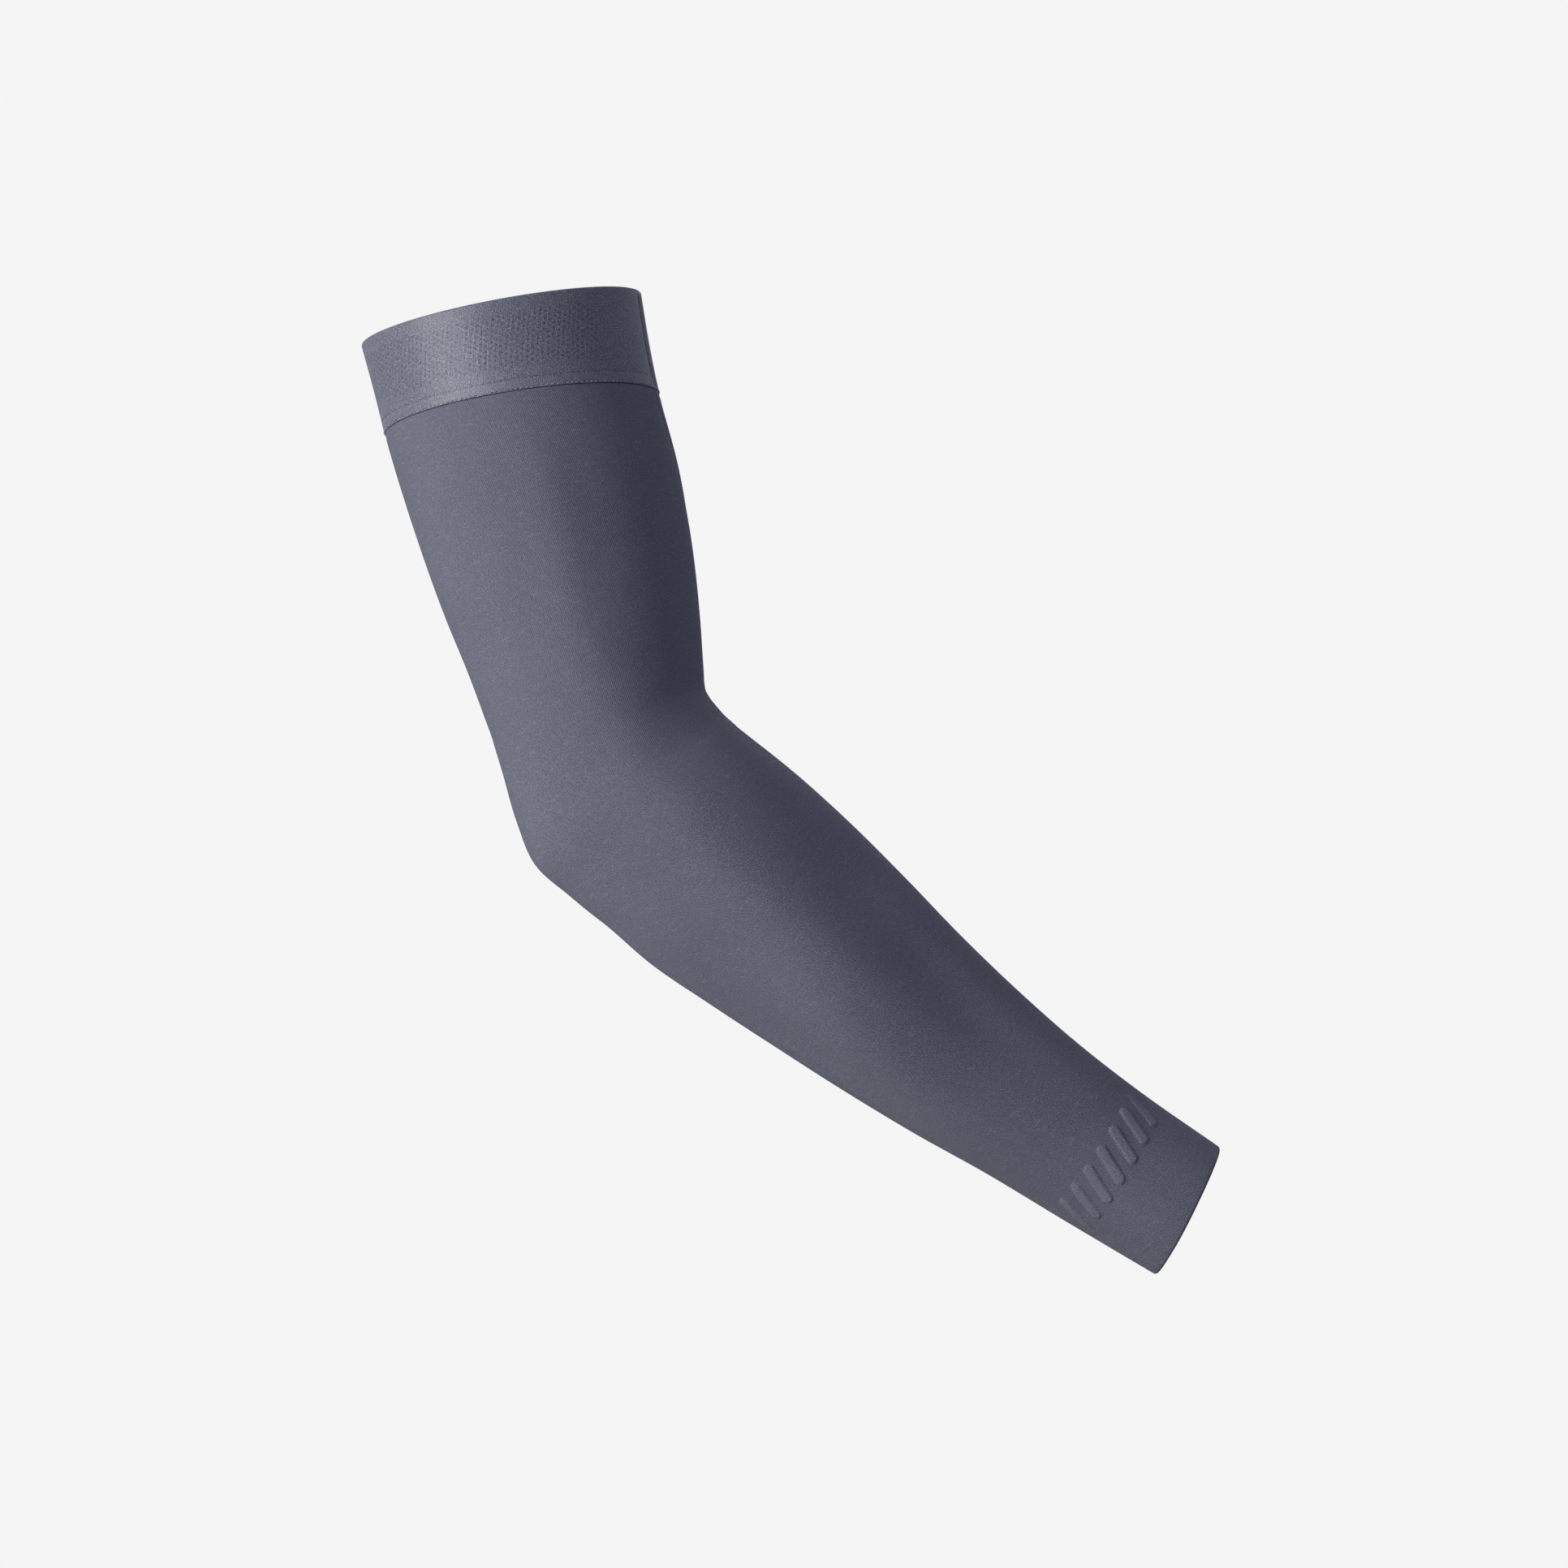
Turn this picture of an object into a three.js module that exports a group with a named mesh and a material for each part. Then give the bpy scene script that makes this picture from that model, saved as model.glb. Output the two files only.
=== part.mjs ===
// Arm warmer: a stretch-knit sleeve that stays bent at the elbow, with an elastic grip band lapped over its
// top edge and a flat seam along the inside of the arm. It is hollow and open at both ends.
// Millimetres, +Z up. The arm lies in the XZ plane and bends towards +X.
// The origin is the middle of the top opening.
import * as THREE from "three";

// Length and bend of the bone line that runs down the middle of the arm
const upperArmLength = 175; // top edge to the elbow's corner
const forearmLength = 265; // elbow's corner to the cuff edge
const upperArmLean = 14; // degrees from plumb
const forearmLean = 53;
const elbowRadius = 70; // the bone line turns the elbow on this arc

// Cloth
const sleeveWall = 1.2;
const bandWall = 1.2;
const bandHeight = 36; // top edge to the band's foot
const lapHeight = 5; // the sleeve's top edge is tucked this far up behind the band's foot
const gap = 0.3; // between pieces that touch
const bandRoll = 0.6; // radius of the band's rounded top edge
const cuffRoll = 1.2; // radius of the cuff's rounded edge
const rollTurn = 70; // degrees that a rounded edge turns inwards
const footRise = 3; // below the band's foot the sleeve swells back to its full girth over this length

// Seam
const seamWidth = 6;
const seamHeight = 0.4;
const seamGap = 0.42; // from the cloth's true curve, which its facets overstep a little
const seamClearOfEnds = 2;

// Mesh
const around = 40; // facets round the arm
const ringStep = 12.5; // longest step between rings along the arm
const rollSteps = 3;

// The girth, a row for each section. along: from the top edge down the bone line.
// crook and back: from the bone line to the outline at the inside and at the back of the elbow.
// depth: the arm's full thickness across the bend. turn: degrees that the section is turned in the plane
// of the bend. lean: degrees that its -Y side is raised.
const sectionColumns = ["along", "crook", "back", "depth", "turn", "lean"];
const sections = [
  [0, 52.5, 52.5, 98, -3, 1], // top edge
  [18, 51, 52.2, 98, -4, 3],
  [36, 50.2, 52.2, 97, -5, 4.5], // band's foot
  [70, 50, 50, 94, -1, 2], // biceps
  [100, 48, 47, 89, 0, 1],
  [125, 44.5, 43.4, 85, 0, 0],
  [143, 41.3, 41.4, 82, 0, 0],
  [150, 40.1, 40.7, 81, 0, 0], // crease in the crook
  [158, 40.5, 40.8, 80, 0, 0],
  [170, 41.6, 43.9, 80, 0, 0],
  [180, 42.1, 47.1, 81, 0, 0], // point of the elbow
  [190, 42.5, 45.5, 82, 0, 0],
  [200, 42.3, 45.3, 83, 0, 0],
  [225, 41.6, 46.8, 83, 0, 0], // fullest part of the forearm
  [250, 39.4, 45.6, 80, 0, 0],
  [280, 35.3, 43.6, 73, 0, 0],
  [310, 30.5, 41.3, 65, 0, 0],
  [340, 26.9, 38.2, 57, 0, 0],
  [370, 24.7, 34, 50, 1, 0],
  [400, 24.4, 30.8, 46, 4, 1],
  [438, 26, 26.6, 47, 10, 3.5], // cuff edge
].map((row) => Object.fromEntries(row.map((value, i) => [sectionColumns[i], value])));

// Where the seam runs, a row for each place. angle: degrees round from the crook towards -Y.
const seamColumns = ["along", "angle"];
const seamRoute = [
  [0, 9],
  [36, 9],
  [64, 0],
  [100, -16],
  [150, -28],
  [438, -28],
].map((row) => Object.fromEntries(row.map((value, i) => [seamColumns[i], value])));

// Low muscle forms under the cloth, alike on the -Y and +Y sides, a row for each.
// angle: degrees round from the crook. height: how far it stands out, or in below nought.
// reachAlong, in millimetres, and reachRound, in degrees: how far it spreads.
const swellColumns = ["along", "angle", "height", "reachAlong", "reachRound"];
const swells = [
  [75, 86, 0.9, 40, 11], // edge of the upper arm's muscle
  [110, 90, 1, 40, 16],
  [185, 75, 2.8, 40, 18], // fullness beside the crook
  [190, 120, -1.3, 35, 20],
  [200, 45, 3.2, 40, 22],
  [240, 118, -2.6, 40, 18],
  [265, 150, -3, 60, 18], // flat of the forearm
  [265, 88, 1.8, 60, 15],
  [275, 50, -2.8, 45, 20],
  [305, 115, 4.6, 40, 18], // ridge of the forearm
  [330, 60, -3, 40, 26],
  [428, 105, 1.5, 26, 20], // heel of the thumb
].map((row) => Object.fromEntries(row.map((value, i) => [swellColumns[i], value])));
const swellFade = 30; // degrees from the outline over which the swellings rise
const swellStart = 38; // the swellings rise from here along the arm
const swellFull = 60;

const cloth = { sleeve: 0x5d5f6d, band: 0x666876, seam: 0x4a4c59 };

const radians = THREE.MathUtils.degToRad;

// A column of a table at any place along the arm, on a smooth curve through its rows.
function columnAt(rows, column, along) {
  const last = rows.length - 1;
  const place = THREE.MathUtils.clamp(along, rows[0].along, rows[last].along);
  const i = Math.min(rows.findLastIndex((row) => row.along <= place), last - 1);
  const slope = (k) => (rows[k + 1][column] - rows[k][column]) / (rows[k + 1].along - rows[k].along);
  const tangent = (k) => {
    if (k === 0) return slope(0);
    if (k === last) return slope(last - 1);
    const before = rows[k].along - rows[k - 1].along;
    const after = rows[k + 1].along - rows[k].along;
    return (slope(k) * before + slope(k - 1) * after) / (before + after);
  };
  const span = rows[i + 1].along - rows[i].along;
  const t = (place - rows[i].along) / span;
  return (
    rows[i][column] * (2 * t ** 3 - 3 * t ** 2 + 1) +
    tangent(i) * span * (t ** 3 - 2 * t ** 2 + t) +
    rows[i + 1][column] * (3 * t ** 2 - 2 * t ** 3) +
    tangent(i + 1) * span * (t ** 3 - t ** 2)
  );
}

// Unit vectors in the plane of the bend: down the arm, and across it towards the crook.
const downArm = (lean) => new THREE.Vector3(Math.sin(radians(lean)), 0, -Math.cos(radians(lean)));
const toCrook = (lean) => new THREE.Vector3(Math.cos(radians(lean)), 0, Math.sin(radians(lean)));

// The bone line: straight, round the elbow's arc, and straight again.
// Gives the point and the arm's lean there.
function boneAt(along) {
  const bend = radians(forearmLean - upperArmLean);
  const tangentLength = elbowRadius * Math.tan(bend / 2);
  const arcStart = upperArmLength - tangentLength;
  const arcLength = elbowRadius * bend;
  if (along <= arcStart) return { point: downArm(upperArmLean).multiplyScalar(along), lean: upperArmLean };
  if (along <= arcStart + arcLength) {
    const lean = upperArmLean + THREE.MathUtils.radToDeg((along - arcStart) / elbowRadius);
    const point = downArm(upperArmLean).multiplyScalar(arcStart);
    point.addScaledVector(toCrook(upperArmLean), elbowRadius).addScaledVector(toCrook(lean), -elbowRadius);
    return { point, lean };
  }
  const point = downArm(upperArmLean).multiplyScalar(upperArmLength);
  point.addScaledVector(downArm(forearmLean), tangentLength + along - arcStart - arcLength);
  return { point, lean: forearmLean };
}

// How far the muscle forms lift the cloth at a place.
function swellAt(along, angle) {
  const turned = Math.abs(THREE.MathUtils.euclideanModulo(THREE.MathUtils.radToDeg(angle) + 180, 360) - 180);
  const lift = swells.reduce((sum, swell) => {
    const lengthwise = (along - swell.along) / swell.reachAlong;
    const sideways = (turned - swell.angle) / swell.reachRound;
    return sum + swell.height * Math.exp(-(lengthwise ** 2) - sideways ** 2);
  }, 0);
  const rise = (degrees) => THREE.MathUtils.smoothstep(degrees, 0, swellFade);
  return lift * rise(turned) * rise(180 - turned) * THREE.MathUtils.smoothstep(along, swellStart, swellFull);
}

// A point of the cloth: along the arm, round it from the crook towards -Y, and in from the outer surface.
function clothPoint(along, angle, inset) {
  const bone = boneAt(along);
  const at = (column) => columnAt(sections, column, along);
  const across = toCrook(bone.lean + at("turn"));
  const up = downArm(bone.lean + at("turn")).negate();
  const raised = radians(at("lean"));
  const near = new THREE.Vector3(0, -Math.cos(raised), 0).addScaledVector(up, Math.sin(raised));
  const lift = swellAt(along, angle) - inset;
  const halfWidth = (at("crook") + at("back")) / 2 + lift;
  const halfDepth = at("depth") / 2 + lift;
  return bone.point
    .addScaledVector(across, (at("crook") - at("back")) / 2)
    .addScaledVector(across, halfWidth * Math.cos(angle))
    .addScaledVector(near, halfDepth * Math.sin(angle));
}

// Steps along the arm, with one on every section of the table and none longer than ringStep.
function ringsBetween(from, to) {
  const marks = [from, ...sections.map((row) => row.along).filter((s) => s > from + 1 && s < to - 1), to];
  return marks.slice(1).flatMap((mark, i) => {
    const steps = Math.ceil((mark - marks[i]) / ringStep);
    return Array.from({ length: steps }, (_, k) => marks[i] + ((mark - marks[i]) * k) / steps);
  }).concat(to);
}

// The rounded edge of a cloth end, from its full girth to its lip: how far back from the edge and how far in.
function edgeRoll(radius) {
  return Array.from({ length: rollSteps + 1 }, (_, k) => {
    const turn = radians((rollTurn * k) / rollSteps);
    const lip = radius * Math.sin(radians(rollTurn));
    return { back: lip - radius * Math.sin(turn), inset: radius * (1 - Math.cos(turn)) };
  });
}

// A closed surface over a grid of points, rows by columns. Both ways round close on themselves unless capped.
function gridGeometry(rows, columns, pointAt, capped = false) {
  const positions = [];
  for (let r = 0; r < rows; r++) for (let c = 0; c < columns; c++) positions.push(...pointAt(r, c).toArray());
  const index = [];
  for (let r = 0; r < (capped ? rows - 1 : rows); r++) {
    for (let c = 0; c < columns; c++) {
      const corner = (dr, dc) => ((r + dr) % rows) * columns + ((c + dc) % columns);
      index.push(corner(0, 0), corner(1, 1), corner(1, 0), corner(0, 0), corner(0, 1), corner(1, 1));
    }
  }
  if (capped) {
    for (let c = 1; c < columns - 1; c++) {
      const end = (rows - 1) * columns;
      index.push(0, c + 1, c, end, end + c, end + c + 1);
    }
  }
  const geometry = new THREE.BufferGeometry();
  geometry.setAttribute("position", new THREE.Float32BufferAttribute(positions, 3));
  geometry.setIndex(index);
  geometry.computeVertexNormals();
  return geometry;
}

// A hollow length of cloth from its outer profile, a list of places along the arm with their insets.
function tubeGeometry(outer, wall) {
  const inner = outer.map(({ along, inset }) => ({ along, inset: inset + wall })).reverse();
  const profile = [...outer, ...inner];
  return gridGeometry(profile.length, around, (r, c) =>
    clothPoint(profile[r].along, (2 * Math.PI * c) / around, profile[r].inset),
  );
}

// The grip band: a straight elastic tube with a rounded top edge.
function bandProfile() {
  const roll = edgeRoll(bandRoll).reverse().map(({ back, inset }) => ({ along: back, inset }));
  const rest = ringsBetween(roll.at(-1).along, bandHeight).slice(1).map((along) => ({ along, inset: 0 }));
  return [...roll, ...rest];
}

// The sleeve: tucked in behind the band's foot, full below it, and rounded at the cuff edge.
function sleeveProfile() {
  const tuck = bandWall + gap;
  const cuffEnd = sections.at(-1).along;
  const roll = edgeRoll(cuffRoll).map(({ back, inset }) => ({ along: cuffEnd - back, inset }));
  const rings = ringsBetween(bandHeight + footRise, roll[0].along).slice(0, -1);
  const full = rings.map((along) => ({ along, inset: 0 }));
  return [
    { along: bandHeight - lapHeight, inset: tuck },
    { along: bandHeight + gap, inset: tuck },
    { along: bandHeight + footRise / 2, inset: tuck / 4 },
    ...full,
    ...roll,
  ];
}

// A flat seam: a low strip that rides on the cloth along the seam's route.
function seamGeometry(from, to) {
  const rings = ringsBetween(from, to);
  const sides = [
    { across: -0.5, lift: 0 },
    { across: -0.4, lift: 1 },
    { across: 0, lift: 1 },
    { across: 0.4, lift: 1 },
    { across: 0.5, lift: 0 },
    { across: 0, lift: 0 },
  ];
  return gridGeometry(
    rings.length,
    sides.length,
    (r, c) => {
      const along = rings[r];
      const girthRadius = (columnAt(sections, "crook", along) + columnAt(sections, "back", along)) / 2;
      const middle = radians(columnAt(seamRoute, "angle", along));
      const angle = middle + (sides[c].across * seamWidth) / girthRadius;
      return clothPoint(along, angle, -seamGap - sides[c].lift * seamHeight);
    },
    true,
  );
}

function piece(name, geometry, color, roughness) {
  const mesh = new THREE.Mesh(geometry, new THREE.MeshStandardMaterial({ color, roughness, metalness: 0 }));
  mesh.name = name;
  return mesh;
}

const seamEnd = sections.at(-1).along - cuffRoll - seamClearOfEnds;
const armWarmer = new THREE.Group();
armWarmer.add(
  piece("sleeve", tubeGeometry(sleeveProfile(), sleeveWall), cloth.sleeve, 0.8),
  piece("grip_band", tubeGeometry(bandProfile(), bandWall), cloth.band, 0.7),
  piece("sleeve_seam", seamGeometry(bandHeight + footRise, seamEnd), cloth.seam, 0.8),
  piece("band_seam", seamGeometry(seamClearOfEnds, bandHeight - gap), cloth.seam, 0.8),
);

export default armWarmer;
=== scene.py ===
import math
import bpy
import numpy as np
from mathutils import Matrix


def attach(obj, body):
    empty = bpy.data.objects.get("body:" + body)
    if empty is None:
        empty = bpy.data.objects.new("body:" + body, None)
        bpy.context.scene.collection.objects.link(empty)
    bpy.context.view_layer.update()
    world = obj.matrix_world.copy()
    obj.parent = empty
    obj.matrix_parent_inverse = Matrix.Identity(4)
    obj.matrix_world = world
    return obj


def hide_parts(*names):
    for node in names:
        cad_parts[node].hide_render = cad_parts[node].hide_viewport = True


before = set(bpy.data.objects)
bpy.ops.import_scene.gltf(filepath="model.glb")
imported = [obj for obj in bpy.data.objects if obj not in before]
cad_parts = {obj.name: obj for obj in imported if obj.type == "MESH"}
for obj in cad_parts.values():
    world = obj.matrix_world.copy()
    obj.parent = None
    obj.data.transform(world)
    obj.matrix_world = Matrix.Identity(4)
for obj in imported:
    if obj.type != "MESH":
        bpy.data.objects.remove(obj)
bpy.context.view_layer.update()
print("frame loaded:", ", ".join(sorted(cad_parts)))

mm = 0.001
fullTurn = 2 * math.pi
rng = np.random.default_rng(7)

# the photo's view: 85 mm lens, level, straight at the plane of the bend
view = {"lens": 85, "sensor": 36, "place": (104.4, -1368.5, -171.6), "farthest": 20}
cameraData = bpy.data.cameras.new("camera")
cameraData.lens = view["lens"]
cameraData.sensor_width = view["sensor"]
cameraData.clip_end = view["farthest"]
camera = bpy.data.objects.new("camera", cameraData)
camera.location = [p * mm for p in view["place"]]
camera.rotation_euler = (math.pi / 2, 0, 0)
bpy.context.scene.collection.objects.link(camera)
bpy.context.scene.camera = camera
print("camera set")

# the bent arm that the cloth is drawn over, in millimetres and degrees
armForm = {
    "upperArm": 175,  # top edge to the elbow's corner
    "upperLean": 14, "foreLean": 53, "elbowRadius": 70,
    "columns": ["along", "crook", "back", "depth", "turn", "lean"],
    "sections": [
        [0, 52.5, 52.5, 98, -3, 1],  # top edge
        [18, 51, 52.2, 98, -4, 3],
        [36, 50.2, 52.2, 97, -5, 4.5],  # band's foot
        [70, 50, 50, 94, -1, 2],
        [100, 48, 47, 89, 0, 1],
        [125, 44.5, 43.4, 85, 0, 0],
        [143, 41.3, 41.4, 82, 0, 0],
        [150, 40.1, 40.7, 81, 0, 0],  # crease in the crook
        [158, 40.5, 40.8, 80, 0, 0],
        [170, 41.6, 43.9, 80, 0, 0],
        [180, 42.1, 47.1, 81, 0, 0],  # point of the elbow
        [190, 42.5, 45.5, 82, 0, 0],
        [200, 42.3, 45.3, 83, 0, 0],
        [225, 41.6, 46.8, 83, 0, 0],
        [250, 39.4, 45.6, 80, 0, 0],
        [280, 35.3, 43.6, 73, 0, 0],
        [310, 30.5, 41.3, 65, 0, 0],
        [340, 26.9, 38.2, 57, 0, 0],
        [370, 24.7, 34, 50, 1, 0],
        [400, 24.4, 30.8, 46, 4, 1],
        [438, 26, 26.6, 47, 10, 3.5],  # cuff edge
    ],
    # along, and degrees round from the crook
    "seam": [[0, 9], [36, 9], [64, 0], [100, -16], [150, -28], [438, -28]],
    # along, degrees round from the crook, height, reach along, reach round
    "swells": [
        [75, 86, 0.9, 40, 11],  # edge of the upper arm's muscle
        [110, 90, 1, 40, 16],
        [185, 75, 2.8, 40, 18],  # fullness beside the crook
        [190, 120, -1.3, 35, 20],
        [200, 45, 3.2, 40, 22],
        [240, 118, -2.6, 40, 18],
        [265, 150, -3, 60, 18],  # flat of the forearm
        [265, 88, 1.8, 60, 15],
        [275, 50, -2.8, 45, 20],
        [305, 115, 4.6, 40, 18],  # ridge of the forearm
        [330, 60, -3, 40, 26],
        [428, 105, 1.5, 26, 20],  # heel of the thumb
    ],
    "swellFade": 30,  # degrees from the outline over which the swellings rise
    "swellFrom": (38, 60),  # stretch below the band over which they begin
}


# a column of a table at places along the arm, by a smooth curve through its rows
def columnAt(rows, column, along):
    table = np.array(rows, float)
    marks, values = table[:, 0], table[:, column]
    step = np.diff(marks)
    slope = np.diff(values) / step
    tangent = np.empty(len(marks))
    tangent[0], tangent[-1] = slope[0], slope[-1]
    tangent[1:-1] = (slope[1:] * step[:-1] + slope[:-1] * step[1:]) / (step[1:] + step[:-1])
    place = np.clip(along, marks[0], marks[-1])
    row = np.clip(np.searchsorted(marks, place, side="right") - 1, 0, len(marks) - 2)
    t = (place - marks[row]) / step[row]
    return (values[row] * (2 * t**3 - 3 * t**2 + 1) + tangent[row] * step[row] * (t**3 - 2 * t**2 + t)
            + values[row + 1] * (3 * t**2 - 2 * t**3) + tangent[row + 1] * step[row] * (t**3 - t**2))


def smoothStep(low, high, value):
    t = np.clip((value - low) / (high - low), 0, 1)
    return t * t * (3 - 2 * t)


def sectionAt(name, along):
    return columnAt(armForm["sections"], armForm["columns"].index(name), along)


def seamAngle(along):
    return np.radians(columnAt(armForm["seam"], 1, along))


# the line through the middle of the arm, straight but for an arc at the elbow, and its lean
def boneAt(along):
    up, fore = math.radians(armForm["upperLean"]), math.radians(armForm["foreLean"])
    radius = armForm["elbowRadius"]
    arcStart = armForm["upperArm"] - radius * math.tan((fore - up) / 2)
    arcEnd = arcStart + radius * (fore - up)
    lean = up + np.clip((along - arcStart) / radius, 0, fore - up)
    before = np.minimum(along, arcStart)
    after = np.maximum(along - arcEnd, 0)
    x = before * math.sin(up) + radius * (math.cos(up) - np.cos(lean)) + after * math.sin(fore)
    z = -before * math.cos(up) + radius * (math.sin(up) - np.sin(lean)) - after * math.cos(fore)
    return x, z, lean


# low muscle forms under the cloth, alike on the near and the far side
def swellAt(along, angle):
    turned = np.abs(np.mod(np.degrees(angle) + 180, 360) - 180)
    total = np.zeros(turned.shape)
    for place, middle, height, reachAlong, reachRound in armForm["swells"]:
        away = ((along - place) / reachAlong) ** 2 + ((turned - middle) / reachRound) ** 2
        total += height * np.exp(-away)
    rise = smoothStep(0, armForm["swellFade"], turned) * smoothStep(0, armForm["swellFade"], 180 - turned)
    return total * rise * smoothStep(*armForm["swellFrom"], along)


# a point of the cloth in metres, from its place along the arm, its angle round the arm from the crook by way
# of the near side, and its depth in from the outside
def clothPoints(along, angle, inset):
    along, angle, inset = np.broadcast_arrays(*(np.asarray(a, float) for a in (along, angle, inset)))
    inset = inset - swellAt(along, angle)
    x, z, lean = boneAt(along)
    turned = lean + np.radians(sectionAt("turn", along))
    raised = np.radians(sectionAt("lean", along))
    crook, back = sectionAt("crook", along), sectionAt("back", along)
    across = (crook - back) / 2 + ((crook + back) / 2 - inset) * np.cos(angle)
    near = (sectionAt("depth", along) / 2 - inset) * np.sin(angle)
    lift = near * np.sin(raised)
    return np.stack([
        x + across * np.cos(turned) - lift * np.sin(turned),
        -near * np.cos(raised),
        z + across * np.sin(turned) + lift * np.cos(turned),
    ], axis=-1) * mm


# a point that stands a height off the cloth, and the cloth's outward direction there
def pointAndOutward(along, angle, height):
    point = clothPoints(along, angle, -height)
    outward = clothPoints(along, angle, -1) - clothPoints(along, angle, 0)
    return point, outward / np.linalg.norm(outward, axis=-1, keepdims=True)


# distance round the arm from the seam, in millimetres, for each row of a grid of angles
def arcFromSeam(along, angle):
    loop = clothPoints(along, angle, 0) / mm
    steps = np.linalg.norm(np.diff(loop, axis=1), axis=2)
    return np.concatenate([np.zeros((len(loop), 1)), np.cumsum(steps, axis=1)], axis=1)


# places along the arm, through stretches that each have an end and a spacing
def placesThrough(start, stretches):
    places = []
    for end, spacing in stretches:
        count = round((end - start) / spacing)
        places.append(np.arange(count) / count * (end - start) + start)
        start = end
    return np.concatenate(places)


# a rounded edge of cloth: how far back from the edge and how far in each of its rows lies
def rolledEdge(radius, degrees, rows):
    turn = np.radians(np.linspace(0, degrees, rows))
    lip = radius * math.sin(turn[-1])
    return lip - radius * np.sin(turn), radius * (1 - np.cos(turn))


# a grid over a tube of cloth, from the rows of its outside and its inside
def clothGrid(outer, inner, columns):
    profile = np.concatenate([outer, inner])
    turns = np.linspace(0, fullTurn, columns + 1)  # the last column is the first one again
    along = np.repeat(profile[:, :1], len(turns), axis=1)
    inset = np.repeat(profile[:, 1:], len(turns), axis=1)
    angle = seamAngle(along) + turns[None]
    return along, angle, inset, arcFromSeam(along, angle)


def newPiece(name, vertices, faces, uv=None):
    mesh = bpy.data.meshes.new(name)
    mesh.from_pydata(vertices, [], faces)
    if uv is not None:
        mesh.uv_layers.new(name="cloth").data.foreach_set("uv", np.asarray(uv, np.float32).ravel())
    mesh.polygons.foreach_set("use_smooth", np.ones(len(mesh.polygons), bool))
    mesh.update()
    piece = bpy.data.objects.new(name, mesh)
    bpy.context.scene.collection.objects.link(piece)
    return piece


# a hollow tube of cloth: rows run down its outside and up its inside, columns run round it from the seam
def tubePiece(name, points, u, v):
    rows, columns = points.shape[0], points.shape[1] - 1
    row, column = np.meshgrid(np.arange(rows), np.arange(columns), indexing="ij")
    nextRow = (row + 1) % rows
    corners = [(row, column), (row, column + 1), (nextRow, column + 1), (nextRow, column)]
    faces = np.stack([i * columns + j % columns for i, j in corners], axis=-1)
    uv = np.stack([np.stack([u[i, j], v[i, j]], axis=-1) for i, j in corners], axis=2)
    vertices = points[:, :columns].reshape(-1, 3)
    return newPiece(name, vertices.tolist(), faces.reshape(-1, 4).tolist(), uv * mm)


# a value at each point of a tube, for its material
def markTube(piece, name, values):
    mark = piece.data.attributes.new(name, "FLOAT", "POINT")
    mark.data.foreach_set("value", values[:, :-1].astype(np.float32).ravel())


# the faces of a closed solid through rings of points that follow each other, capped at both ends
def ringFaces(rings, base):
    count, sides = rings.shape[:2]
    ring, side = np.meshgrid(np.arange(count - 1), np.arange(sides), indexing="ij")
    here = base + ring * sides + side
    beside = base + ring * sides + (side + 1) % sides
    walls = np.stack([here, beside, beside + sides, here + sides], axis=-1).reshape(-1, 4).tolist()
    firstCap = [base + i for i in reversed(range(sides))]
    lastCap = [base + (count - 1) * sides + i for i in range(sides)]
    return walls + [firstCap, lastCap]


def ringPiece(name, solids):
    vertices, faces, base = [], [], 0
    for rings in solids:
        vertices.append(rings.reshape(-1, 3))
        faces += ringFaces(rings, base)
        base += rings.shape[0] * rings.shape[1]
    return newPiece(name, np.concatenate(vertices).tolist(), faces)


# a round thread through points, given the cloth's outward direction and the thread's radius at each
def threadRings(points, outward, radius, sides):
    turn = np.linspace(0, fullTurn, sides, endpoint=False)
    ahead = np.gradient(points, axis=0)
    ahead /= np.linalg.norm(ahead, axis=1, keepdims=True)
    side = np.cross(ahead, outward)
    side /= np.linalg.norm(side, axis=1, keepdims=True)
    up = np.cross(side, ahead)
    ring = np.cos(turn)[None, :, None] * side[:, None] + np.sin(turn)[None, :, None] * up[:, None]
    return points[:, None] + ring * (radius * mm)[:, None, None]


# sleeve: one tube of knit, tucked in behind the band's foot, with raised slanted bars near its cuff
sleeve = {
    "columns": 320, "top": 31, "foot": 36, "end": armForm["sections"][-1][0], "wall": 1.2,
    "tuck": 1.5, "step": 0.2,  # how far it is drawn in behind the band, and how far just below the band
    "stepFrom": 0.05, "stepRise": 0.22, "footRise": 3,  # where below the foot it comes out again
    "cuffRoll": 1.2, "rollTurn": 70, "rollRows": 7,
    "elbow": (140, 205),
    "spacing": {
        "tucked": 1.7, "step": 0.08, "foot": 0.5, "arm": 2.6, "elbow": 1.6, "bars": 0.36, "lining": 6,
    },
    "liningFoot": [0, 1, 4], "liningFrom": 10, "liningStop": 4,  # rows of the inside, foot and cuff
    "bars": {
        "place": 402, "length": 15, "width": 4, "slant": 24, "spacing": 8.6, "count": 9,
        "height": 0.65, "bevel": 0.45, "margin": 2,
        "front": 90, "sideFade": (12, 50),  # degrees in from the outline over which they rise
    },
    "lean": 0.1, "hemLean": 0.12, "hemReach": 25,  # how the knit's columns lean, more so just below the band
    "flat": (0.285, 0.4), "flatArea": 0.086,
}


# how far the sleeve is drawn in behind the band's foot
def tuckAt(along):
    foot, step = sleeve["foot"], sleeve["step"]
    rise = foot + sleeve["stepRise"]
    under = (sleeve["tuck"] - step) * (1 - smoothStep(foot + sleeve["stepFrom"], rise, along))
    return under + step * (1 - smoothStep(rise, foot + sleeve["footRise"], along))


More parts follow.
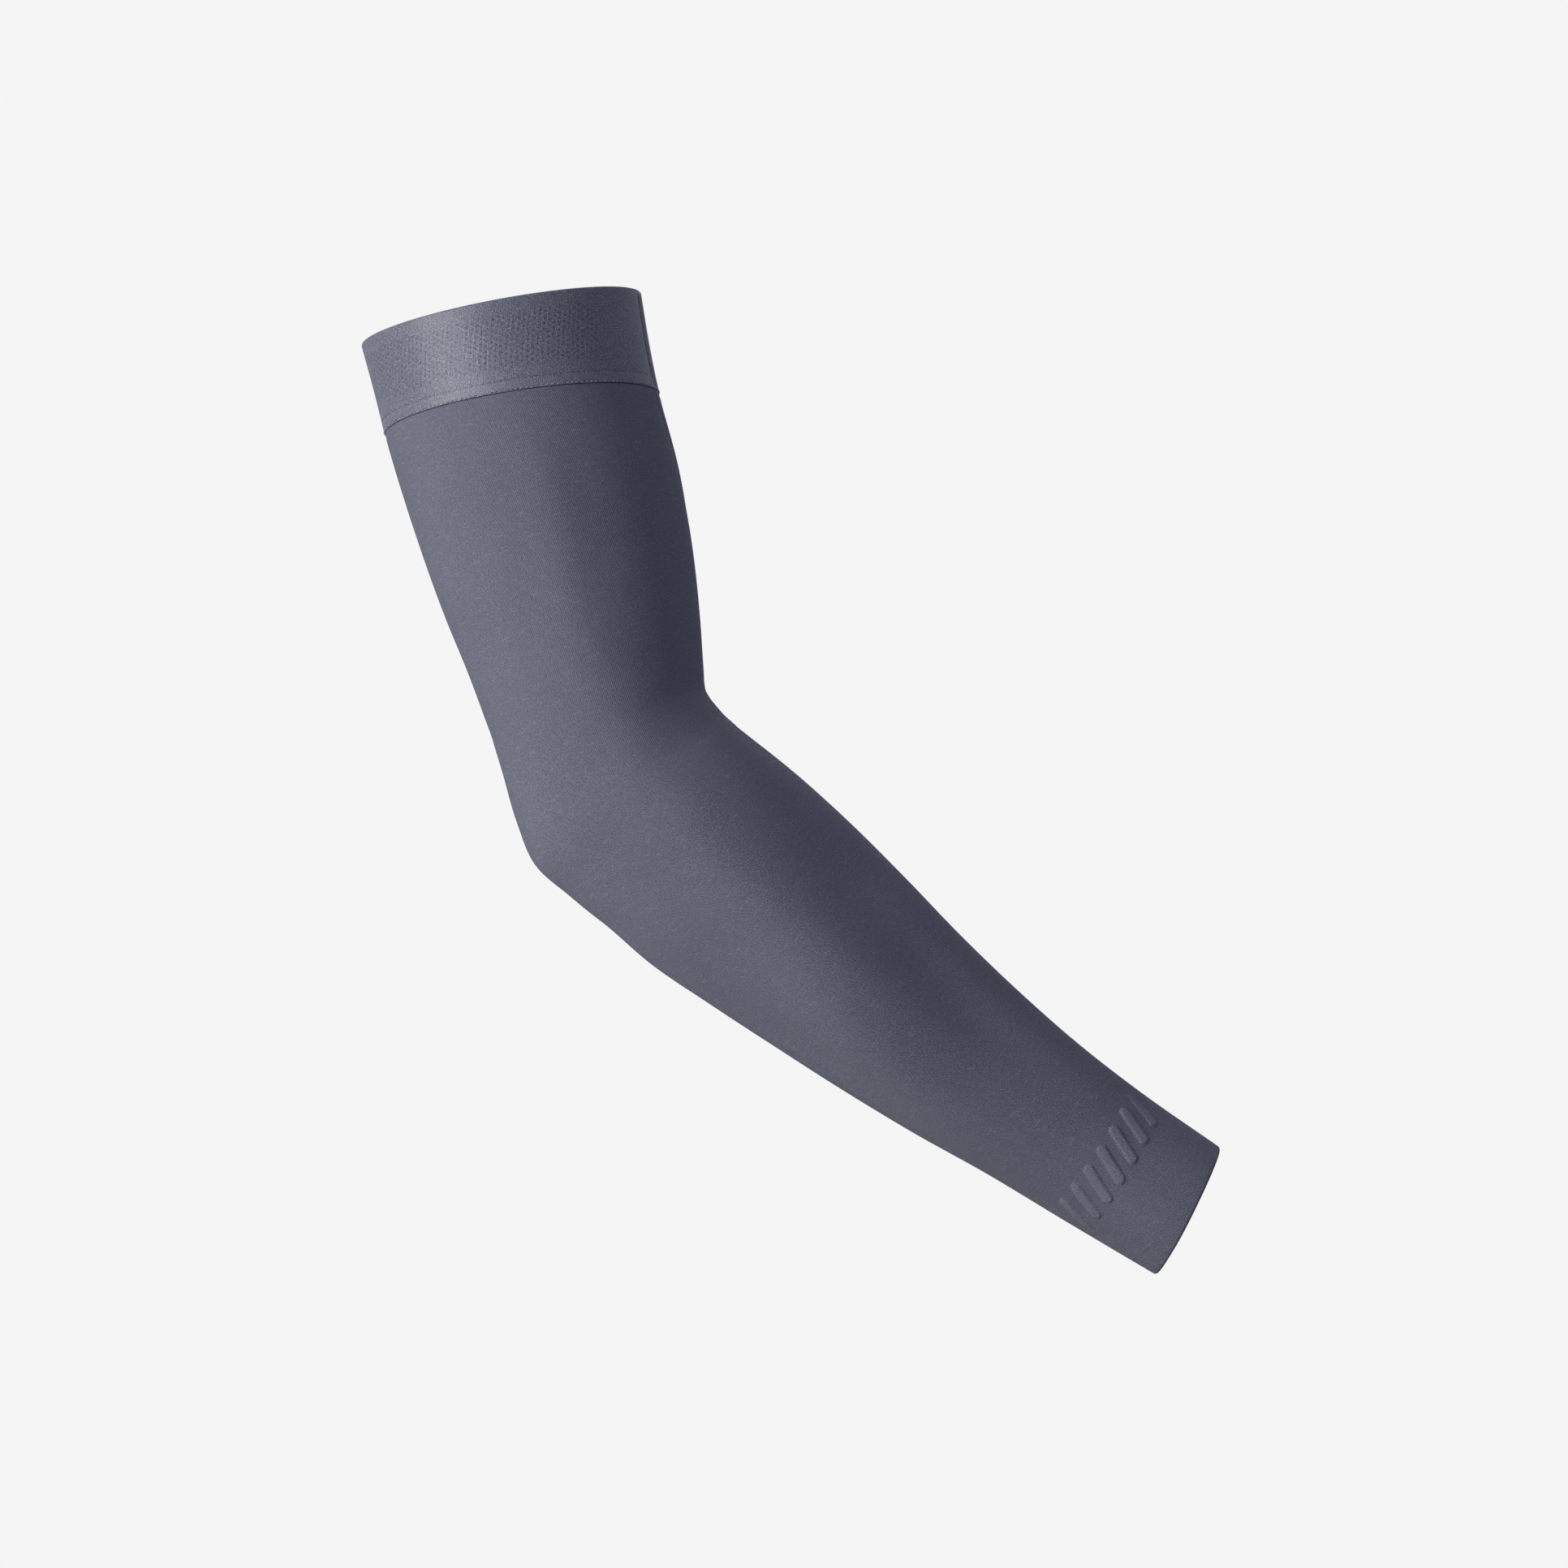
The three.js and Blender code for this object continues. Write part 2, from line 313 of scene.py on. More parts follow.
def sleeveRows():
    edgeBack, edgeIn = rolledEdge(sleeve["cuffRoll"], sleeve["rollTurn"], sleeve["rollRows"])
    edgeAlong = sleeve["end"] - edgeBack
    foot, spacing, bars = sleeve["foot"], sleeve["spacing"], sleeve["bars"]
    barsReach = bars["length"] / 2 + bars["margin"]
    along = placesThrough(sleeve["top"], [
        (foot + sleeve["stepFrom"], spacing["tucked"]),
        (foot + sleeve["stepRise"], spacing["step"]),
        (foot + sleeve["footRise"], spacing["foot"]),
        (sleeve["elbow"][0], spacing["arm"]),
        (sleeve["elbow"][1], spacing["elbow"]),
        (bars["place"] - barsReach, spacing["arm"]),
        (bars["place"] + barsReach, spacing["bars"]),
        (edgeAlong[0], spacing["arm"]),
    ])
    outer = np.concatenate([np.stack([along, tuckAt(along)], axis=1), np.stack([edgeAlong, edgeIn], axis=1)])
    nearFoot = foot + np.array(sleeve["liningFoot"])
    lining = np.arange(foot + sleeve["liningFrom"], edgeAlong[0] - sleeve["liningStop"], spacing["lining"])
    innerAlong = np.concatenate([[sleeve["top"]], nearFoot, lining, edgeAlong[::2]])
    innerInset = np.interp(innerAlong, outer[:, 0], outer[:, 1]) + sleeve["wall"]
    return outer, np.stack([innerAlong, innerInset], axis=1)[::-1]


# how high the raised bars stand at a place along the arm and round it from its front
def barHeight(along, arc):
    bars = sleeve["bars"]
    slant, half = math.radians(bars["slant"]), bars["width"] / 2
    reach = bars["length"] / 2 / math.cos(slant) - half
    height = np.zeros(along.shape)
    for k in range(bars["count"]):
        middle = (k - (bars["count"] - 1) / 2) * bars["spacing"]
        down, over = along - bars["place"], arc - middle
        lengthwise = down * math.cos(slant) + over * math.sin(slant)
        sideways = -down * math.sin(slant) + over * math.cos(slant)
        away = np.hypot(np.maximum(np.abs(lengthwise) - reach, 0), sideways)
        height = np.maximum(height, 1 - smoothStep(half - bars["bevel"], half, away))
    return height * bars["height"]


def makeSleeve():
    bars = sleeve["bars"]
    outer, inner = sleeveRows()
    along, angle, inset, arc = clothGrid(outer, inner, sleeve["columns"])
    front = [np.interp(math.radians(bars["front"]), angle[k], arc[k]) for k in range(len(arc))]
    fromFront = arc - np.array(front)[:, None]
    raised = np.zeros(inset.shape)
    outside = slice(len(outer))
    near = 90 - np.abs(np.degrees(angle[outside]) - bars["front"])
    raised[outside] = barHeight(along[outside], fromFront[outside]) * smoothStep(*bars["sideFade"], near)
    hemShift = sleeve["hemLean"] * sleeve["hemReach"] * np.exp((sleeve["foot"] - along) / sleeve["hemReach"])
    shift = sleeve["lean"] * along - hemShift
    piece = tubePiece("sleeve_cloth", clothPoints(along, angle, inset - raised), fromFront + shift, along)
    markTube(piece, "raised", raised / bars["height"])
    return piece


sleevePiece = makeSleeve()
print("sleeve made:", len(sleevePiece.data.polygons), "faces")

# grip band: ribbed elastic with a field of dimples, pulled in under two stitch rows at its foot
band = {
    "columns": 840, "foot": sleeve["foot"], "wall": sleeve["wall"],
    "topRoll": 0.6, "footRoll": 0.18, "rollTurn": 75, "rollRows": 5,
    "lean": -0.187,  # of the ribs and of the columns of dimples
    "dimples": {
        "pitch": 2.2, "radius": 0.85, "depth": 0.15, "from": 5.5, "to": 28, "fade": 1.5,
        "seamClear": 28, "seamFade": 10,
    },
    "stitchRows": [31.8, 35.6], "pull": 0.07, "pullWidth": 0.3,
    "puff": 0.06, "puffRise": 1,  # the hem stands out a little below the upper row
    "spacing": {"plain": 0.7, "field": 0.36, "hem": 0.3}, "hemMargin": 1,
    "lining": [[0, 0.5], [1.5, 0], [10, 0], [20, 0], [30, 0], [35.9, 0]],  # along, and in from the wall
    "flat": (0.29, 0.036),
}


def bandRows():
    topBack, topIn = rolledEdge(band["topRoll"], band["rollTurn"], band["rollRows"])
    footBack, footIn = rolledEdge(band["footRoll"], band["rollTurn"], band["rollRows"])
    field, spacing = band["dimples"], band["spacing"]
    upperRow = band["stitchRows"][0]
    along = placesThrough(topBack[0], [
        (field["from"], spacing["plain"]),
        (field["to"], spacing["field"]),
        (upperRow - band["hemMargin"], spacing["plain"]),
        (band["foot"] - footBack[0], spacing["hem"]),
    ])
    inset = -band["puff"] * smoothStep(upperRow, upperRow + band["puffRise"], along)
    for row in band["stitchRows"]:
        inset += band["pull"] * np.exp(-((along - row) / band["pullWidth"]) ** 2)
    outer = np.concatenate([
        np.stack([topBack[::-1], topIn[::-1]], axis=1)[:-1],
        np.stack([along, inset], axis=1),
        np.stack([band["foot"] - footBack, footIn - band["puff"]], axis=1),
    ])
    inner = np.array(band["lining"])[::-1] + (0, band["wall"])
    return outer, inner


# how deep the dimples are: a honeycomb that leans with the ribs and stops short of the seam
def dimpleDepth(along, arc, girth):
    field = band["dimples"]
    pitch = field["pitch"]
    columnGap = pitch * math.sqrt(3) / 2
    leaning = arc + band["lean"] * along
    nearestColumn = np.round(leaning / columnGap)
    away = np.full(leaning.shape, np.inf)
    for shift in (-1, 0, 1):
        column = nearestColumn + shift
        offset = np.where(np.mod(column, 2) > 0.5, pitch / 2, 0)  # every other column is half a pitch down
        row = np.round((along - offset) / pitch)
        away = np.minimum(away, np.hypot(leaning - column * columnGap, along - offset - row * pitch))
    fadeIn = smoothStep(field["from"], field["from"] + field["fade"], along)
    fadeOut = 1 - smoothStep(field["to"] - field["fade"], field["to"], along)
    depth = field["depth"] * (1 - smoothStep(0, field["radius"], away)) * fadeIn * fadeOut
    fromSeam = np.minimum(arc, girth - arc)
    return depth * smoothStep(field["seamClear"], field["seamClear"] + field["seamFade"], fromSeam)


def makeBand():
    outer, inner = bandRows()
    along, angle, inset, arc = clothGrid(outer, inner, band["columns"])
    sunk = np.zeros(inset.shape)
    outside = slice(len(outer))
    sunk[outside] = dimpleDepth(along[outside], arc[outside], arc[outside, -1:])
    leaning = arc + band["lean"] * along
    piece = tubePiece("band_cloth", clothPoints(along, angle, inset + sunk), leaning, along)
    markTube(piece, "sunk", sunk / band["dimples"]["depth"])
    return piece


bandPiece = makeBand()
print("band made:", len(bandPiece.data.polygons), "faces")

# hem stitching: a row of short threads painted dark as shade, and a raised row along the band's foot,
# painted lighter as a highlight, with gaps painted dark as shade
hemStitch = {
    # the sunk row and the gap row use thread painted near black as shade
    "sunk": {
        "along": band["stitchRows"][0], "start": 0, "pitch": 2.2, "length": 1.6, "radius": 0.12,
        "rise": -0.02, "sink": 0.25,
    },
    "foot": {
        "along": 35.52, "start": 0, "pitch": 1.9, "length": 1.3, "radius": 0.14,
        "rise": 0.2, "sink": 0.35,
    },
    "gap": {
        "along": 35.52, "start": 0.9, "pitch": 1.9, "length": 2, "radius": 0.17,
        "rise": -0.04, "sink": 0.1,
    },
    "sides": 6, "points": 8, "loopPoints": 721,
    "slope": 0.1, "bluntness": 0.6, "taper": 0.45,  # a thread's slant, its arch and its thinner ends
    "vary": {"place": 0.12, "along": 0.05, "height": 0.035, "length": (0.6, 1.15), "radius": (0.7, 1.15)},
}


def hemThreads(row):
    vary, taper = hemStitch["vary"], hemStitch["taper"]
    t = np.linspace(0, 1, hemStitch["points"])
    arch = np.sin(np.pi * t)
    loop = np.full((1, hemStitch["loopPoints"]), float(row["along"]))
    loopAngle = seamAngle(loop) + np.linspace(0, fullTurn, hemStitch["loopPoints"])
    arc = arcFromSeam(loop, loopAngle)[0]
    count = round(arc[-1] / row["pitch"])
    threads = []
    for k in range(count):
        start = row["start"] + k * arc[-1] / count + rng.normal(0, vary["place"])
        place = start + t * row["length"] * rng.uniform(*vary["length"])
        angle = np.interp(place, arc, loopAngle[0])
        along = row["along"] + rng.normal(0, vary["along"]) + hemStitch["slope"] * (t - 0.5)
        dip = row["sink"] * (1 - arch ** hemStitch["bluntness"])
        height = row["rise"] - dip + rng.normal(0, vary["height"])
        point, outward = pointAndOutward(along, angle, height)
        radius = row["radius"] * rng.uniform(*vary["radius"]) * (1 - taper + taper * arch)
        threads.append(threadRings(point, outward, radius, hemStitch["sides"]))
    return threads


sunkStitch = ringPiece("hem_stitching", hemThreads(hemStitch["sunk"]) + hemThreads(hemStitch["gap"]))
footStitch = ringPiece("foot_stitching", hemThreads(hemStitch["foot"]))
print("hem stitching made:", len(sunkStitch.data.polygons) + len(footStitch.data.polygons), "faces")

# flat seam: a low strip worked over with four needle rows and the threads that cross between them
flatSeam = {
    "width": 5.6, "height": 0.14, "edge": 0.35, "endFade": 1.2, "sunk": 0.2,
    "step": 0.26, "acrossStep": 0.28,
    "needleRows": [-2.1, -0.7, 0.7, 2.1], "stitch": 2.1, "needleHeight": 0.08, "needleWidth": 0.28,
    "crossPitch": 1.05, "crossHeight": 0.05, "crossLean": 0.75,
    "sleeve": (36.4, 434), "band": (1.5, 35.4),  # where each seam starts and ends along the arm
    "darkEdge": 0.3,  # width of the darker strip along each side
}


def makeSeam(name, start, end, drawnIn):
    half, stitch = flatSeam["width"] / 2, flatSeam["stitch"]
    along = np.linspace(start, end, round((end - start) / flatSeam["step"]) + 1)[:, None]
    across = np.linspace(-half, half, round(flatSeam["width"] / flatSeam["acrossStep"]) + 1)[None]
    edge = smoothStep(0, flatSeam["edge"], half - np.abs(across))
    fade = flatSeam["endFade"]
    ends = smoothStep(0, fade, along - start) * smoothStep(0, fade, end - along)
    lean = np.abs(np.mod(across / stitch + 0.5, 1) - 0.5) * 2 * flatSeam["crossLean"]  # to and fro
    crossing = np.cos(fullTurn * (along / flatSeam["crossPitch"] + lean))
    height = flatSeam["height"] + flatSeam["crossHeight"] * crossing
    for k, row in enumerate(flatSeam["needleRows"]):
        bead = np.sqrt(np.abs(np.sin(np.pi * (along / stitch + 0.5 * (k % 2)))))
        ridge = np.exp(-((across - row) / flatSeam["needleWidth"]) ** 2)
        height = height + flatSeam["needleHeight"] * bead * ridge
    under = np.full((len(along), 2), -flatSeam["sunk"])
    height = np.concatenate([height * edge * ends, under], axis=1)
    across = np.concatenate([across, [[half, -half]]], axis=1)
    angle = seamAngle(along) + across / (sectionAt("depth", along) / 2)
    piece = ringPiece(name, [clothPoints(along, angle, drawnIn(along) - height)[:, ::-1]])
    strips = np.abs((across + np.roll(across, -1, axis=1)) / 2)[0, ::-1]
    edges = np.roll(strips, -1) > half - flatSeam["darkEdge"]
    onEdge = np.concatenate([np.tile(edges, len(along) - 1), [False, False]])
    piece.data.polygons.foreach_set("material_index", onEdge.astype(np.int32))
    return piece


sleeveSeam = makeSeam("sleeve_seam_stitching", *flatSeam["sleeve"], tuckAt)
bandSeam = makeSeam("band_seam_stitching", *flatSeam["band"], np.zeros_like)
print("seams made:", len(sleeveSeam.data.polygons) + len(bandSeam.data.polygons), "faces")


# materials
def newMaterial(name, look):
    material = bpy.data.materials.new(name)
    material.use_nodes = True
    shader = material.node_tree.nodes["Principled BSDF"]
    shader.inputs["Roughness"].default_value = look["roughness"]
    shader.inputs["Sheen Weight"].default_value = look["sheen"]
    shader.inputs["Sheen Roughness"].default_value = look["sheenRoughness"]
    shader.inputs["Specular IOR Level"].default_value = look["specular"]
    return material, shader


def node(material, kind, **settings):
    made = material.node_tree.nodes.new(kind)
    for key, value in settings.items():
        if key in made.inputs:
            made.inputs[key].default_value = value
        else:
            setattr(made, key, value)
    return made


def join(material, a, b):
    material.node_tree.links.new(a, b)


def calc(material, operation, *values):
    made = node(material, "ShaderNodeMath", operation=operation)
    for socket, value in zip(made.inputs, values):
        if isinstance(value, (int, float)):
            socket.default_value = value
        else:
            join(material, value, socket)
    return made.outputs[0]


# from one colour to another, either of which may be a socket
def blend(material, amount, first, second):
    made = node(material, "ShaderNodeMix", data_type="RGBA")
    join(material, amount, made.inputs[0])
    for socket, colour in ((made.inputs[6], first), (made.inputs[7], second)):
        if isinstance(colour, tuple):
            socket.default_value = (*colour, 1)
        else:
            join(material, colour, socket)
    return made.outputs[2]


# from nought to one, smoothly, as a value goes from low to high
def rising(material, value, low, high):
    made = node(material, "ShaderNodeMapRange", interpolation_type="SMOOTHSTEP")
    made.inputs[1].default_value = low
    made.inputs[2].default_value = high
    join(material, value, made.inputs[0])
    return made.outputs[0]


def merged(material, x, y):
    made = node(material, "ShaderNodeCombineXYZ")
    join(material, x, made.inputs[0])
    join(material, y, made.inputs[1])
    return made.outputs[0]


# where a point of the cloth lies, as two numbers: round the arm and along it, in millimetres
def clothPlace(material):
    where = node(material, "ShaderNodeUVMap", uv_map="cloth")
    split = node(material, "ShaderNodeSeparateXYZ")
    join(material, where.outputs[0], split.inputs[0])
    return [calc(material, "DIVIDE", split.outputs[k], mm) for k in (0, 1)]


def grain(material, size, detail):
    where = node(material, "ShaderNodeTexCoord")
    noise = node(material, "ShaderNodeTexNoise", Scale=1 / (size * mm), Detail=detail)
    join(material, where.outputs["Object"], noise.inputs["Vector"])
    return noise.outputs["Fac"]


# noise drawn out round the arm, kept only where it is strongest: the odd thicker course in the knit, painted
# lighter as a glint
def courseGlints(material, place, plan):
    noise = node(material, "ShaderNodeTexNoise", Scale=1, Detail=1)
    lengthwise = calc(material, "DIVIDE", place[0], plan["length"])
    sideways = calc(material, "DIVIDE", place[1], plan["width"])
    join(material, merged(material, lengthwise, sideways), noise.inputs["Vector"])
    return rising(material, noise.outputs["Fac"], *plan["limits"])


# a smooth wave between nought and one, once for each whole step of the phase
def wave(material, phase):
    turned = calc(material, "SINE", calc(material, "MULTIPLY", phase, fullTurn))
    return calc(material, "MULTIPLY_ADD", turned, 0.5, 0.5)


# adds up values by their weights, with their middles set to a half
def balanced(material, weights, **values):
    total = 0.5 - sum(weights[name] for name in values) / 2
    for name, value in values.items():
        total = calc(material, "MULTIPLY_ADD", value, weights[name], total)
    return total


# a random value for each small cell of a cloth
def speckle(material, a, b):
    noise = node(material, "ShaderNodeTexWhiteNoise", noise_dimensions="2D")
    cell = merged(material, calc(material, "FLOOR", a), calc(material, "FLOOR", b))
    join(material, cell, noise.inputs["Vector"])
    return noise.outputs["Value"]


# the same, and each cell set against its neighbours, so that the specks stay fine and gather into no clouds
def sharpSpeckle(material, a, b):
    here = speckle(material, a, b)
    beside = speckle(material, calc(material, "ADD", a, 1), b)
    below = speckle(material, a, calc(material, "ADD", b, 1))
    around = calc(material, "MULTIPLY", calc(material, "ADD", beside, below), 0.5)
    return here, calc(material, "SUBTRACT", here, around)


# random specks in a piece that has no map of its own
def pepper(material, size):
    where = node(material, "ShaderNodeTexCoord")
    snap = node(material, "ShaderNodeVectorMath", operation="SNAP")
    snap.inputs[1].default_value = (size * mm, size * mm, size * mm)
    join(material, where.outputs["Object"], snap.inputs[0])
    noise = node(material, "ShaderNodeTexWhiteNoise", noise_dimensions="3D")
    join(material, snap.outputs[0], noise.inputs["Vector"])
    return noise.outputs["Value"]


def finishCloth(material, shader, height, tone, look):
    bump = node(material, "ShaderNodeBump", Strength=1, Distance=look["depth"] * mm)
    join(material, height, bump.inputs["Height"])
    join(material, bump.outputs[0], shader.inputs["Normal"])
    join(material, blend(material, tone, look["dark"], look["light"]), shader.inputs["Base Color"])


# smooth stretch knit: columns of small V-shaped loops that differ a little, fuzz, a few courses with painted
# glints, and painted highlights on the bars and towards the cuff
knitLook = {
    "dark": (0.0745, 0.0772, 0.098), "light": (0.162, 0.1655, 0.1965),
    "roughness": 0.7, "sheen": 0.03, "sheenRoughness": 0.45, "specular": 0.02, "depth": 0.066,
    "wale": 0.72, "course": 0.6, "slope": 1.4,  # a column's width, a loop's length and its slope
    "driftSize": 22, "drift": 1.6, "cloudSize": 30, "cloudDetail": 3,
    "heights": {"loop": 0.5, "column": 1.3, "speck": 0.4},
    "tones": {"speck": 0.2, "column": 0.6, "loop": 0.3, "cloud": 0.3, "sharp": 0.7},
    "courseGlints": {"length": 6, "width": 0.5, "limits": (0.57, 0.72), "tone": 0.85},
    # painted highlight on the raised bars' tops
    "bars": {"tone": 0.75, "leastSpeck": 0.4},
    "cuffHighlight": {"from": 385, "to": 425, "tone": 0.12},  # painted highlight: the knit's colour lighter towards the cuff
}
knit, shader = newMaterial("slate_knit", knitLook)
place = clothPlace(knit)
drift = calc(knit, "MULTIPLY", grain(knit, knitLook["driftSize"], 0), knitLook["drift"])
wales = calc(knit, "ADD", calc(knit, "DIVIDE", place[0], knitLook["wale"]), drift)
courses = calc(knit, "ADD", calc(knit, "DIVIDE", place[1], knitLook["course"]), drift)
column = wave(knit, wales)
strand = calc(knit, "ABSOLUTE", calc(knit, "SINE", calc(knit, "MULTIPLY", wales, fullTurn)))
loopPlace = calc(knit, "MULTIPLY_ADD", calc(knit, "PINGPONG", wales, 0.5), knitLook["slope"], courses)
loop = calc(knit, "MULTIPLY", strand, wave(knit, loopPlace))
speck, sharp = sharpSpeckle(knit, calc(knit, "MULTIPLY", wales, 2), calc(knit, "MULTIPLY", loopPlace, 2))
cloud = grain(knit, knitLook["cloudSize"], knitLook["cloudDetail"])
height = balanced(knit, knitLook["heights"], loop=loop, column=column, speck=speck)
tone = balanced(knit, knitLook["tones"], speck=speck, column=column, loop=loop, cloud=cloud)
tone = calc(knit, "MULTIPLY_ADD", sharp, knitLook["tones"]["sharp"], tone)
# painted glints: the odd thicker course is lightened in the knit's colour
courseGlint = calc(knit, "MULTIPLY", courseGlints(knit, place, knitLook["courseGlints"]), speck)
tone = calc(knit, "MULTIPLY_ADD", courseGlint, knitLook["courseGlints"]["tone"], tone)
# painted highlight: the raised bars are lightened in the knit's colour
raised = node(knit, "ShaderNodeAttribute", attribute_name="raised").outputs["Fac"]
barHighlight = calc(knit, "MULTIPLY", raised, calc(knit, "ADD", speck, knitLook["bars"]["leastSpeck"]))
tone = calc(knit, "MULTIPLY_ADD", barHighlight, knitLook["bars"]["tone"], tone)
# painted highlight: the knit's colour is lightened towards the cuff
cuffHighlight = rising(knit, place[1], knitLook["cuffHighlight"]["from"], knitLook["cuffHighlight"]["to"])
tone = calc(knit, "MULTIPLY_ADD", cuffHighlight, knitLook["cuffHighlight"]["tone"], tone)
finishCloth(knit, shader, height, tone, knitLook)

# ribbed elastic: shinier and more speckled, with fine ribs down the band that stand a little askew, and
# painted shade in its dimples
elasticLook = {
    "dark": (0.048, 0.0505, 0.0655), "light": (0.193, 0.1972, 0.2335),
    "roughness": 0.2, "grooveRoughness": 0.55,  # shiny ribs, dull grooves
    "sheen": 0.05, "sheenRoughness": 0.45, "specular": 0.25, "depth": 0.02,
    "rib": 0.68, "cell": 0.32, "driftSize": 20, "drift": 1.2, "fuzzSize": 0.5, "fuzzDetail": 1,
    "heights": {"rib": 1, "speck": 0.9},
    # the sunk tone is painted shade: the colour is darker in the dimples
    "tones": {"speck": 0.2, "rib": 0.45, "fuzz": 0.25, "sharp": 0.55, "sunk": -0.45},
    "hem": {"rise": 0.5, "sharp": -0.25, "rib": 0.3, "tone": -0.1},  # drawn tighter, so its ribs show more
    "glints": {"power": 8, "tone": 0.8, "rest": -0.08},
}
elastic, shader = newMaterial("ribbed_elastic", elasticLook)
place = clothPlace(elastic)
drift = calc(elastic, "MULTIPLY", grain(elastic, elasticLook["driftSize"], 0), elasticLook["drift"])
ribPlace = calc(elastic, "ADD", calc(elastic, "DIVIDE", place[0], elasticLook["rib"]), drift)
rib = wave(elastic, ribPlace)
cellPlace = calc(elastic, "DIVIDE", place[1], elasticLook["cell"])
speck, sharp = sharpSpeckle(elastic, calc(elastic, "MULTIPLY", ribPlace, 2), cellPlace)
fuzz = grain(elastic, elasticLook["fuzzSize"], elasticLook["fuzzDetail"])
height = balanced(elastic, elasticLook["heights"], rib=rib, speck=speck)
tone = balanced(elastic, elasticLook["tones"], speck=speck, rib=rib, fuzz=fuzz)
hemPlan, hemTop = elasticLook["hem"], band["stitchRows"][0]
hem = rising(elastic, place[1], hemTop, hemTop + hemPlan["rise"])
sharpness = calc(elastic, "MULTIPLY_ADD", hem, hemPlan["sharp"], elasticLook["tones"]["sharp"])
tone = calc(elastic, "MULTIPLY_ADD", sharp, sharpness, tone)
ribbed = calc(elastic, "MULTIPLY_ADD", rib, hemPlan["rib"], hemPlan["tone"])
tone = calc(elastic, "MULTIPLY_ADD", hem, ribbed, tone)
# painted shade: the elastic's colour is darkened in the dimples
sunk = node(elastic, "ShaderNodeAttribute", attribute_name="sunk").outputs["Fac"]
tone = calc(elastic, "MULTIPLY_ADD", sunk, elasticLook["tones"]["sunk"], tone)
tone = calc(elastic, "ADD", tone, elasticLook["glints"]["rest"])
glint = calc(elastic, "POWER", speck, elasticLook["glints"]["power"])
tone = calc(elastic, "MULTIPLY_ADD", glint, elasticLook["glints"]["tone"], tone)
finishCloth(elastic, shader, height, tone, elasticLook)
ribShine = elasticLook["roughness"] - elasticLook["grooveRoughness"]
roughness = calc(elastic, "MULTIPLY_ADD", rib, ribShine, elasticLook["grooveRoughness"])
join(elastic, roughness, shader.inputs["Roughness"])

# sewing thread: plain in the seams, darker at their sides, painted dark as shade in the hem, and painted
# lighter as a highlight at the band's foot
threadLook = {
    "dark": (0.07, 0.073, 0.094), "light": (0.15, 0.154, 0.187),
    "roughness": 0.6, "sheen": 0.05, "sheenRoughness": 0.4, "specular": 0.2, "depth": 0.04,
    "fuzzSize": 0.3, "fuzzDetail": 2, "speckSize": 0.34, "tones": {"fuzz": 0.8, "speck": 0.9},
}
# darker colour for the faces along each side of the seams
seamSideLook = {
    **threadLook, "dark": (0.026, 0.028, 0.038), "light": (0.05, 0.052, 0.068), "roughness": 0.7,
}
# painted shade: near-black thread for the hem's sunk row and the gaps in the foot row
shadeThreadLook = {
    **threadLook, "dark": (0.016, 0.017, 0.024), "light": (0.036, 0.038, 0.05), "roughness": 0.7,
}
# painted highlight: the foot row's thread is lightened, besides its real gloss
footGlintThreadLook = {
    **threadLook, "dark": (0.05, 0.052, 0.066), "light": (0.4, 0.405, 0.45), "roughness": 0.3, "specular": 1,
}


def threadMaterial(name, look):
    material, shader = newMaterial(name, look)
    fuzz = grain(material, look["fuzzSize"], look["fuzzDetail"])
    tone = balanced(material, look["tones"], fuzz=fuzz, speck=pepper(material, look["speckSize"]))
    finishCloth(material, shader, fuzz, tone, look)
    return material


thread = threadMaterial("seam_thread", threadLook)
footGlintThread = threadMaterial("foot_thread_painted_glint", footGlintThreadLook)
shadeThread = threadMaterial("painted_shade_thread", shadeThreadLook)
seamSide = threadMaterial("seam_dark_side", seamSideLook)

finishes = [
    (sleevePiece, [knit], "knit"),
    (bandPiece, [elastic], "elastic"),
    (sunkStitch, [shadeThread], "seam_thread"),
    (footStitch, [footGlintThread], "seam_thread"),
    (sleeveSeam, [thread, seamSide], "seam_thread"),
    (bandSeam, [thread, seamSide], "seam_thread"),
]
for piece, materials, slot in finishes:
    for material in materials:
        piece.data.materials.append(material)
    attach(piece, "root")
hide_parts("sleeve")
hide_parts("grip_band")
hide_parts("sleeve_seam")
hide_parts("band_seam")
print("materials set")

# studio: a pale room and floor, a broad light from the left, a strip for gloss, and lights behind and above
studio = {
    "floorRadius": 0.72, "floorDrop": 0.62, "floorSides": 96,
    "floorTone": (0.93, 0.91, 0.84), "floorRoughness": 0.9,
    "roomTone": (0.913, 0.913, 0.913),  # as the camera sees it
    "skyLight": (0.44, 0.459, 0.58), "groundLight": (0.14, 0.147, 0.195),  # as it lights the cloth
    "aim": (0.105, 0, -0.17),
    "lights": {
        "key": {
            "from": (-1.03, -0.82, -0.23), "size": (0.54, 1.65), "power": 27.9, "colour": (0.985, 0.99, 1),
        },
        "strip": {
            "from": (-0.4, -0.75, -0.33), "size": (0.1, 1.1), "power": 8.4, "colour": (0.85, 0.88, 1),
        },
        "edge": {
            "from": (0.75, 1.3, 0.1), "size": (0.6, 1.2), "power": 0.35, "colour": (0.95, 0.97, 1),
        },
        "back": {
            "from": (0.1, 1.4, 0.1), "size": (0.9, 0.9), "power": 16, "colour": (0.97, 0.98, 1),
        },
        "top": {
            "from": (0.1, 0.05, 1.0), "size": (0.7, 0.7), "power": 2.4, "colour": (0.95, 0.97, 1),
        },
    },
}
disc = []
